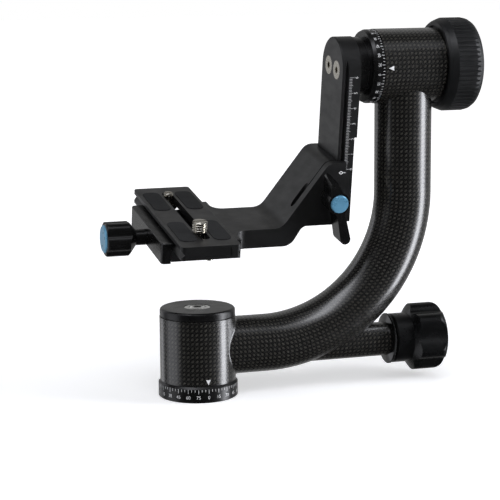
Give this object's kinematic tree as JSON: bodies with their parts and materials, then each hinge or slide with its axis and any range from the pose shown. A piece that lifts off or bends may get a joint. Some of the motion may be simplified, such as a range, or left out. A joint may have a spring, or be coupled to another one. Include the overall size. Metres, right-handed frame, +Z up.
{
  "type": "gimbal tripod head",
  "caption": "Side-arm gimbal head for a long lens: pan base, bent carbon arm, tilt barrel with lock knob, height-adjusting cradle and quick-release clamp with plate.",
  "frame": {"origin": "centre of the tripod thread's mouth, in the base's flat bottom face, on the pan axis", "axes": "+Z up along the pan axis, +X from the pan axis towards the arm's upright tube, +Y along the lens, away from the clamp lever"},
  "size_m": [0.2435, 0.1231, 0.2365],
  "materials": {
    "carbon": "clear-coated carbon twill",
    "black_anodised": "satin black anodised",
    "bare_aluminium": "machined",
    "steel": "bright machined",
    "bearing_steel": "ground",
    "brass": "machined",
    "friction_lining": "pressed lining",
    "knob_rubber": "moulded satin",
    "blue_anodised": "satin blue anodised",
    "pad_rubber": "fine grained"
  },
  "bodies": {
    "base": {"pan_dial": "black_anodised", "pan_spindle": "bare_aluminium", "pan_dial_screws": "steel", "brake_drum": "steel", "pan_nut": "steel", "pan_inner_races": "bearing_steel", "pan_bearing_cages": "bearing_steel"},
    "arm": {"base_sleeve": "carbon", "pan_housing": "bare_aluminium", "pan_outer_races": "bearing_steel", "top_cap": "black_anodised", "cap_disc": "steel", "elbow_tube": "carbon", "lock_stub": "carbon", "lock_collar": "black_anodised", "rod_bush": "brass", "tilt_barrel": "carbon", "tilt_housing": "bare_aluminium", "tilt_outer_races": "bearing_steel", "friction_ring": "friction_lining"},
    "pan_brake": {"brake_rod": "steel", "brake_shoe": "brass"},
    "pan_lock": {"lock_knob": "knob_rubber", "lock_screw": "steel", "lock_knob_cap": "black_anodised"},
    "tilt": {"tilt_shaft": "black_anodised", "tilt_dial": "black_anodised", "tilt_inner_races": "bearing_steel", "tilt_bearing_cages": "bearing_steel", "tilt_spacer": "bare_aluminium", "tilt_nut": "steel", "riser": "black_anodised", "riser_screws": "steel"},
    "tilt_clamp": {"tilt_washer": "steel"},
    "tilt_knob": {"tilt_knob_core": "black_anodised", "tilt_knob_grip": "knob_rubber", "tilt_knob_cap": "black_anodised"},
    "cradle": {"cradle": "black_anodised", "qr_springs": "steel"},
    "cradle_lever": {"cradle_lever": "black_anodised", "lever_cap": "blue_anodised", "lever_bolt": "steel", "lever_washer": "steel"},
    "qr_jaw": {"qr_jaw": "black_anodised", "qr_guide_pins": "steel"},
    "qr_knob": {"qr_knob": "black_anodised", "qr_knob_cap": "blue_anodised", "qr_screw": "steel"},
    "qr_plate": {"quick_plate": "black_anodised", "plate_pads": "pad_rubber", "plate_stop_screws": "steel"},
    "large_stud_slide": {"large_stud_washer": "steel"},
    "large_stud": {"large_stud": "steel"},
    "small_stud_slide": {"small_stud_washer": "steel"},
    "small_stud": {"small_stud": "steel"}
  },
  "joints": [
    {"name": "pan", "type": "hinge", "parent": "base", "child": "arm", "pos_m": [0, 0, 0.03], "axis": [0, 0, 1], "continuous": true},
    {"name": "pan_brake_slide", "type": "slide", "parent": "arm", "child": "pan_brake", "axis": [-1, 0, 0], "range_m": [0, 0.000486]},
    {"name": "pan_lock_turn", "type": "hinge", "parent": "pan_brake", "child": "pan_lock", "pos_m": [0.15, 0, 0.0269], "axis": [-1, 0, 0], "range_deg": [0, 140]},
    {"name": "tilt", "type": "hinge", "parent": "arm", "child": "tilt", "pos_m": [0.118, 0, 0.2064], "axis": [1, 0, 0], "continuous": true},
    {"name": "tilt_clamp_slide", "type": "slide", "parent": "tilt", "child": "tilt_clamp", "axis": [-1, 0, 0], "range_m": [0, 0.000291]},
    {"name": "tilt_knob_turn", "type": "hinge", "parent": "tilt_clamp", "child": "tilt_knob", "pos_m": [0.175, 0, 0.2064], "axis": [-1, 0, 0], "range_deg": [0, 60]},
    {"name": "cradle_height", "type": "slide", "parent": "tilt", "child": "cradle", "axis": [0, -0.165, 0.9863], "range_m": [0, 0.06]},
    {"name": "cradle_lever_turn", "type": "hinge", "parent": "cradle", "child": "cradle_lever", "pos_m": [0.08655, -0.01956, 0.12333], "axis": [0, -0.9863, -0.165], "range_deg": [0, 90]},
    {"name": "qr_jaw_slide", "type": "slide", "parent": "cradle", "child": "qr_jaw", "axis": [-1, 0, 0], "range_m": [0, 0.004]},
    {"name": "qr_knob_turn", "type": "hinge", "parent": "qr_jaw", "child": "qr_knob", "pos_m": [-0.045, 0.01764, 0.10097], "axis": [-1, 0, 0], "range_deg": [0, 1440]},
    {"name": "plate_slide", "type": "slide", "parent": "cradle", "child": "qr_plate", "axis": [0, 0.9863, 0.165], "range_m": [-0.014, 0.014]},
    {"name": "large_stud_travel", "type": "slide", "parent": "qr_plate", "child": "large_stud_slide", "axis": [0, 0.9863, 0.165], "range_m": [-0.0111, 0.0481]},
    {"name": "large_stud_turn", "type": "hinge", "parent": "large_stud_slide", "child": "large_stud", "pos_m": [-0.00275, -0.01756, 0.10775], "axis": [0, -0.165, 0.9863], "continuous": true},
    {"name": "small_stud_travel", "type": "slide", "parent": "qr_plate", "child": "small_stud_slide", "axis": [0, 0.9863, 0.165], "range_m": [-0.015, 0.0038]},
    {"name": "small_stud_turn", "type": "hinge", "parent": "small_stud_slide", "child": "small_stud", "pos_m": [-0.00275, 0.05799, 0.12039], "axis": [0, -0.165, 0.9863], "continuous": true}
  ],
  "couplings": [
    {"joint": "pan_lock_turn", "follows": "pan_brake_slide", "rad_per_m": 5026.5},
    {"joint": "tilt_knob_turn", "follows": "tilt_clamp_slide", "rad_per_m": 3590.4},
    {"joint": "qr_knob_turn", "follows": "qr_jaw_slide", "rad_per_m": 6283.2}
  ]
}
